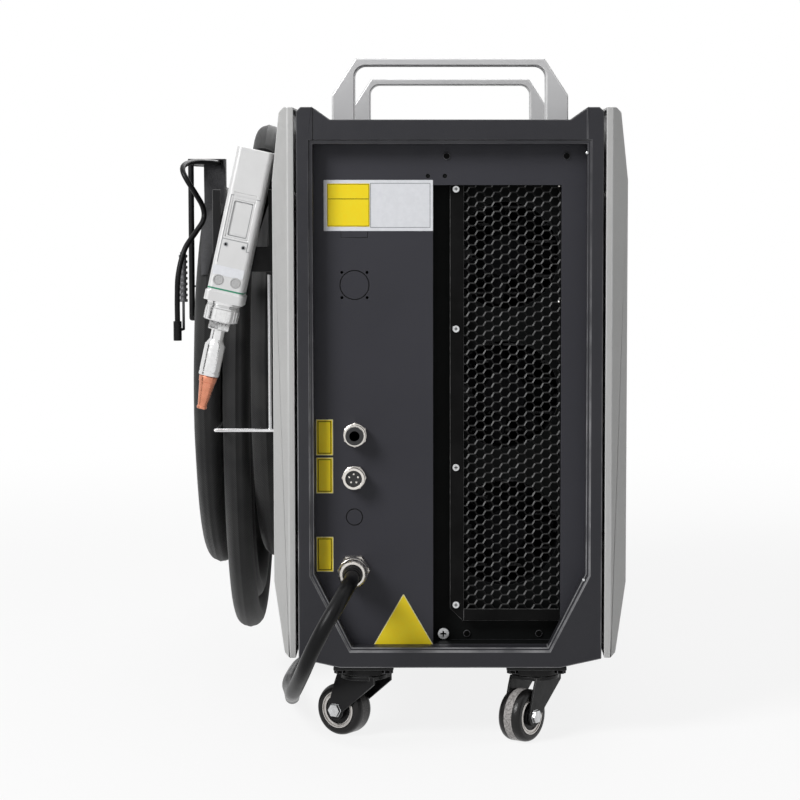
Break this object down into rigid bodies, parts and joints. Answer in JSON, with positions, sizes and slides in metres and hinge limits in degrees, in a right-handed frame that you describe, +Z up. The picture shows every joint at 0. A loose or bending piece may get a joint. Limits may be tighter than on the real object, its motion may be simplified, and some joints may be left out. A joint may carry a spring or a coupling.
{
  "type": "laser welding machine",
  "caption": "Upright air-cooled laser welding machine on swivel casters, with a hand-held welding gun in a side holder and its hose wound over a hook.",
  "frame": {"origin": "middle of the footprint of the machine without its free cords, on the floor", "axes": "+Z up, -Y towards the connector end with the fan grille, +Y towards the control end, -X towards the hose and gun side"},
  "size_m": [0.3675, 0.8882, 0.547],
  "materials": {
    "panel_black": "matt near-black powder coat",
    "frame_grey": "fine textured dark grey powder coat",
    "side_silver": "silver grey satin paint",
    "plastic_black": "matt black moulding",
    "glass_dark": "dark glossy screen",
    "stop_yellow": "yellow gloss plastic",
    "stop_red": "red gloss plastic",
    "zinc": "zinc-plated steel",
    "handle_silver": "satin silver casting",
    "caster_black": "black painted pressed steel",
    "hub_silver": "turned aluminium",
    "tyre_black": "dull black tread with pale scuffs",
    "module_grey": "grey anodised aluminium",
    "sink_aluminium": "bare extruded aluminium",
    "board_green": "green solder resist",
    "nickel": "nickel-plated brass, worn bright",
    "gun_silver": "satin anodised aluminium",
    "copper": "bare copper, heat-tinted",
    "cable_black": "black rubber sheath",
    "plug_blue": "blue moulded plug",
    "sleeve_black": "black woven zip-up sleeve",
    "strap_black": "black hook-and-loop strap",
    "spring_grey": "dark spring steel"
  },
  "bodies": {
    "cabinet": {"base_pan": "panel_black", "rear_frame": "frame_grey", "front_frame": "frame_grey", "rear_panel": "panel_black", "fan_grille": "panel_black", "side_panel_left": "side_silver", "side_panel_right": "side_silver", "top_cover": "frame_grey", "front_panel": "panel_black", "screen_bezel": "plastic_black", "touch_screen": "glass_dark", "stop_collar": "stop_yellow", "key_switch": "zinc", "handle_rear": "handle_silver", "handle_front": "handle_silver", "panel_screws": "zinc", "caster_plates": "caster_black", "fan_frames": "plastic_black", "laser_module": "module_grey", "heat_sink": "sink_aluminium", "power_supply": "module_grey", "control_board": "board_green", "gas_fitting": "nickel", "signal_socket": "nickel", "power_gland": "nickel", "hose_gland": "plastic_black", "hose_hook": "caster_black", "hose_keeper": "nickel", "gun_holder": "panel_black", "power_cable": "cable_black", "power_coil": "cable_black", "power_plug": "plug_blue", "umbilical_coil": "sleeve_black", "umbilical_leads": "sleeve_black", "cord_ties": "strap_black", "earth_lead": "cable_black", "earth_clip": "spring_grey"},
    "gun": {"gun_body": "gun_silver", "gun_grip": "plastic_black", "gun_nozzle": "copper", "gun_tube": "gun_silver"},
    "trigger": {"gun_trigger": "stop_red"},
    "stop": {"stop_button": "stop_red"},
    "key_body": {"key": "zinc"},
    "collet": {"gas_collet": "plastic_black"},
    "fan_top": {"rotor_top": "plastic_black"},
    "fan_middle": {"rotor_middle": "plastic_black"},
    "fan_bottom": {"rotor_bottom": "plastic_black"},
    "swivel_rl": {"fork_rl": "caster_black"},
    "roller_rl": {"wheel_rl": "hub_silver", "tyre_rl": "tyre_black"},
    "swivel_rr": {"fork_rr": "caster_black"},
    "roller_rr": {"wheel_rr": "hub_silver", "tyre_rr": "tyre_black"},
    "swivel_fl": {"fork_fl": "caster_black"},
    "roller_fl": {"wheel_fl": "hub_silver", "tyre_fl": "tyre_black"},
    "swivel_fr": {"fork_fr": "caster_black"},
    "roller_fr": {"wheel_fr": "hub_silver", "tyre_fr": "tyre_black"}
  },
  "joints": [
    {"name": "swivel_turn_rl", "type": "hinge", "parent": "cabinet", "child": "swivel_rl", "pos_m": [-0.0263, -0.2935, 0.055], "axis": [0, 0, 1], "continuous": true},
    {"name": "wheel_turn_rl", "type": "hinge", "parent": "swivel_rl", "child": "roller_rl", "pos_m": [-0.04307, -0.28261, 0.021], "axis": [-0.5446, -0.8387, 0], "continuous": true},
    {"name": "swivel_turn_rr", "type": "hinge", "parent": "cabinet", "child": "swivel_rr", "pos_m": [0.1117, -0.2935, 0.055], "axis": [0, 0, 1], "continuous": true},
    {"name": "wheel_turn_rr", "type": "hinge", "parent": "swivel_rr", "child": "roller_rr", "pos_m": [0.10023, -0.30988, 0.021], "axis": [0.8192, -0.5736, 0], "continuous": true},
    {"name": "swivel_turn_fl", "type": "hinge", "parent": "cabinet", "child": "swivel_fl", "pos_m": [-0.0263, 0.2995, 0.055], "axis": [0, 0, 1], "continuous": true},
    {"name": "wheel_turn_fl", "type": "hinge", "parent": "swivel_fl", "child": "roller_fl", "pos_m": [-0.04509, 0.30634, 0.021], "axis": [-0.342, -0.9397, 0], "continuous": true},
    {"name": "swivel_turn_fr", "type": "hinge", "parent": "cabinet", "child": "swivel_fr", "pos_m": [0.1117, 0.2995, 0.055], "axis": [0, 0, 1], "continuous": true},
    {"name": "wheel_turn_fr", "type": "hinge", "parent": "swivel_fr", "child": "roller_fr", "pos_m": [0.09357, 0.29105, 0.021], "axis": [0.4226, -0.9063, 0], "continuous": true},
    {"name": "fan_spin_top", "type": "hinge", "parent": "cabinet", "child": "fan_top", "pos_m": [0.08685, -0.2675, 0.38742], "axis": [0, 1, 0], "continuous": true},
    {"name": "fan_spin_middle", "type": "hinge", "parent": "cabinet", "child": "fan_middle", "pos_m": [0.08685, -0.2675, 0.27592], "axis": [0, 1, 0], "continuous": true},
    {"name": "fan_spin_bottom", "type": "hinge", "parent": "cabinet", "child": "fan_bottom", "pos_m": [0.08685, -0.2675, 0.16442], "axis": [0, 1, 0], "continuous": true},
    {"name": "stop_press", "type": "slide", "parent": "cabinet", "child": "stop", "axis": [0, -1, 0], "range_m": [0, 0.005]},
    {"name": "key_turn", "type": "hinge", "parent": "cabinet", "child": "key_body", "pos_m": [-0.0193, 0.3205, 0.3], "axis": [0, 1, 0], "range_deg": [0, 90]},
    {"name": "collet_press", "type": "slide", "parent": "cabinet", "child": "collet", "axis": [0, 1, 0], "range_m": [0, 0.0015], "stiffness_N_per_m": 400},
    {"name": "gun_lift", "type": "slide", "parent": "cabinet", "child": "gun", "axis": [-0.0817, -0.5398, 0.8378], "range_m": [0, 0.06]},
    {"name": "trigger_pull", "type": "hinge", "parent": "gun", "child": "trigger", "pos_m": [-0.12145, -0.22034, 0.42477], "axis": [-0.9763, 0, 0.2164], "range_deg": [0, 8], "stiffness_Nm_per_rad": 0.3, "springref_deg": -2.86}
  ]
}
